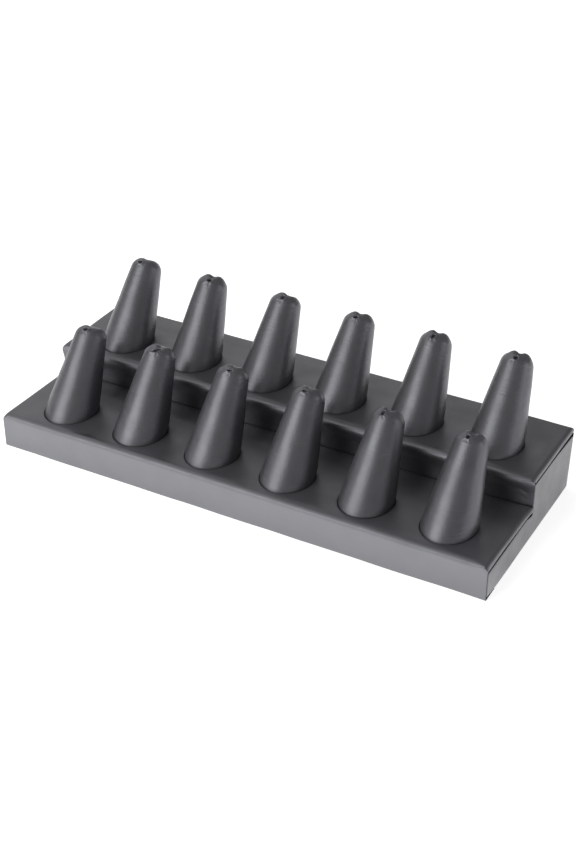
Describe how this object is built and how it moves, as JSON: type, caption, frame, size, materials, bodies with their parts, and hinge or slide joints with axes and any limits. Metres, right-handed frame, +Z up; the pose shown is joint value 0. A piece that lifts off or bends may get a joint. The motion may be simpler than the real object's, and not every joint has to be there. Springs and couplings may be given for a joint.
{
  "type": "ring display stand",
  "caption": "Stepped ring display stand wrapped in dark grey leatherette, with a row of stuffed, pinched-tip fingers on each tier that lean back and hold rings.",
  "frame": {"origin": "middle of the stand's footprint, on the surface it stands on", "axes": "+X along the rows of fingers, to the right seen from the front; +Y from the low front tier to the back; +Z up"},
  "size_m": [0.225, 0.0894, 0.0615],
  "materials": {
    "leatherette": "dark grey leatherette with a fine grain and a soft sheen",
    "board": "plain grey board, hidden under the covers",
    "lining": "matt black lining under the base",
    "stuffing": "firm foam stuffing, hidden inside the fingers"
  },
  "bodies": {
    "root": {"lower_tier_cover": "leatherette", "upper_tier_cover": "leatherette", "left_side_cover": "leatherette", "right_side_cover": "leatherette", "lower_finger_sleeve_1": "leatherette", "lower_finger_sleeve_2": "leatherette", "lower_finger_sleeve_3": "leatherette", "lower_finger_sleeve_4": "leatherette", "lower_finger_sleeve_5": "leatherette", "lower_finger_sleeve_6": "leatherette", "upper_finger_sleeve_1": "leatherette", "upper_finger_sleeve_2": "leatherette", "upper_finger_sleeve_3": "leatherette", "upper_finger_sleeve_4": "leatherette", "upper_finger_sleeve_5": "leatherette", "upper_finger_sleeve_6": "leatherette", "front_board": "board", "riser_board": "board", "back_board": "board", "left_side_board": "board", "right_side_board": "board", "bottom_board": "board", "lower_deck_board": "board", "upper_deck_board": "board", "base_lining": "lining", "lower_finger_core_1": "stuffing", "lower_finger_core_2": "stuffing", "lower_finger_core_3": "stuffing", "lower_finger_core_4": "stuffing", "lower_finger_core_5": "stuffing", "lower_finger_core_6": "stuffing", "upper_finger_core_1": "stuffing", "upper_finger_core_2": "stuffing", "upper_finger_core_3": "stuffing", "upper_finger_core_4": "stuffing", "upper_finger_core_5": "stuffing", "upper_finger_core_6": "stuffing"}
  },
  "joints": []
}
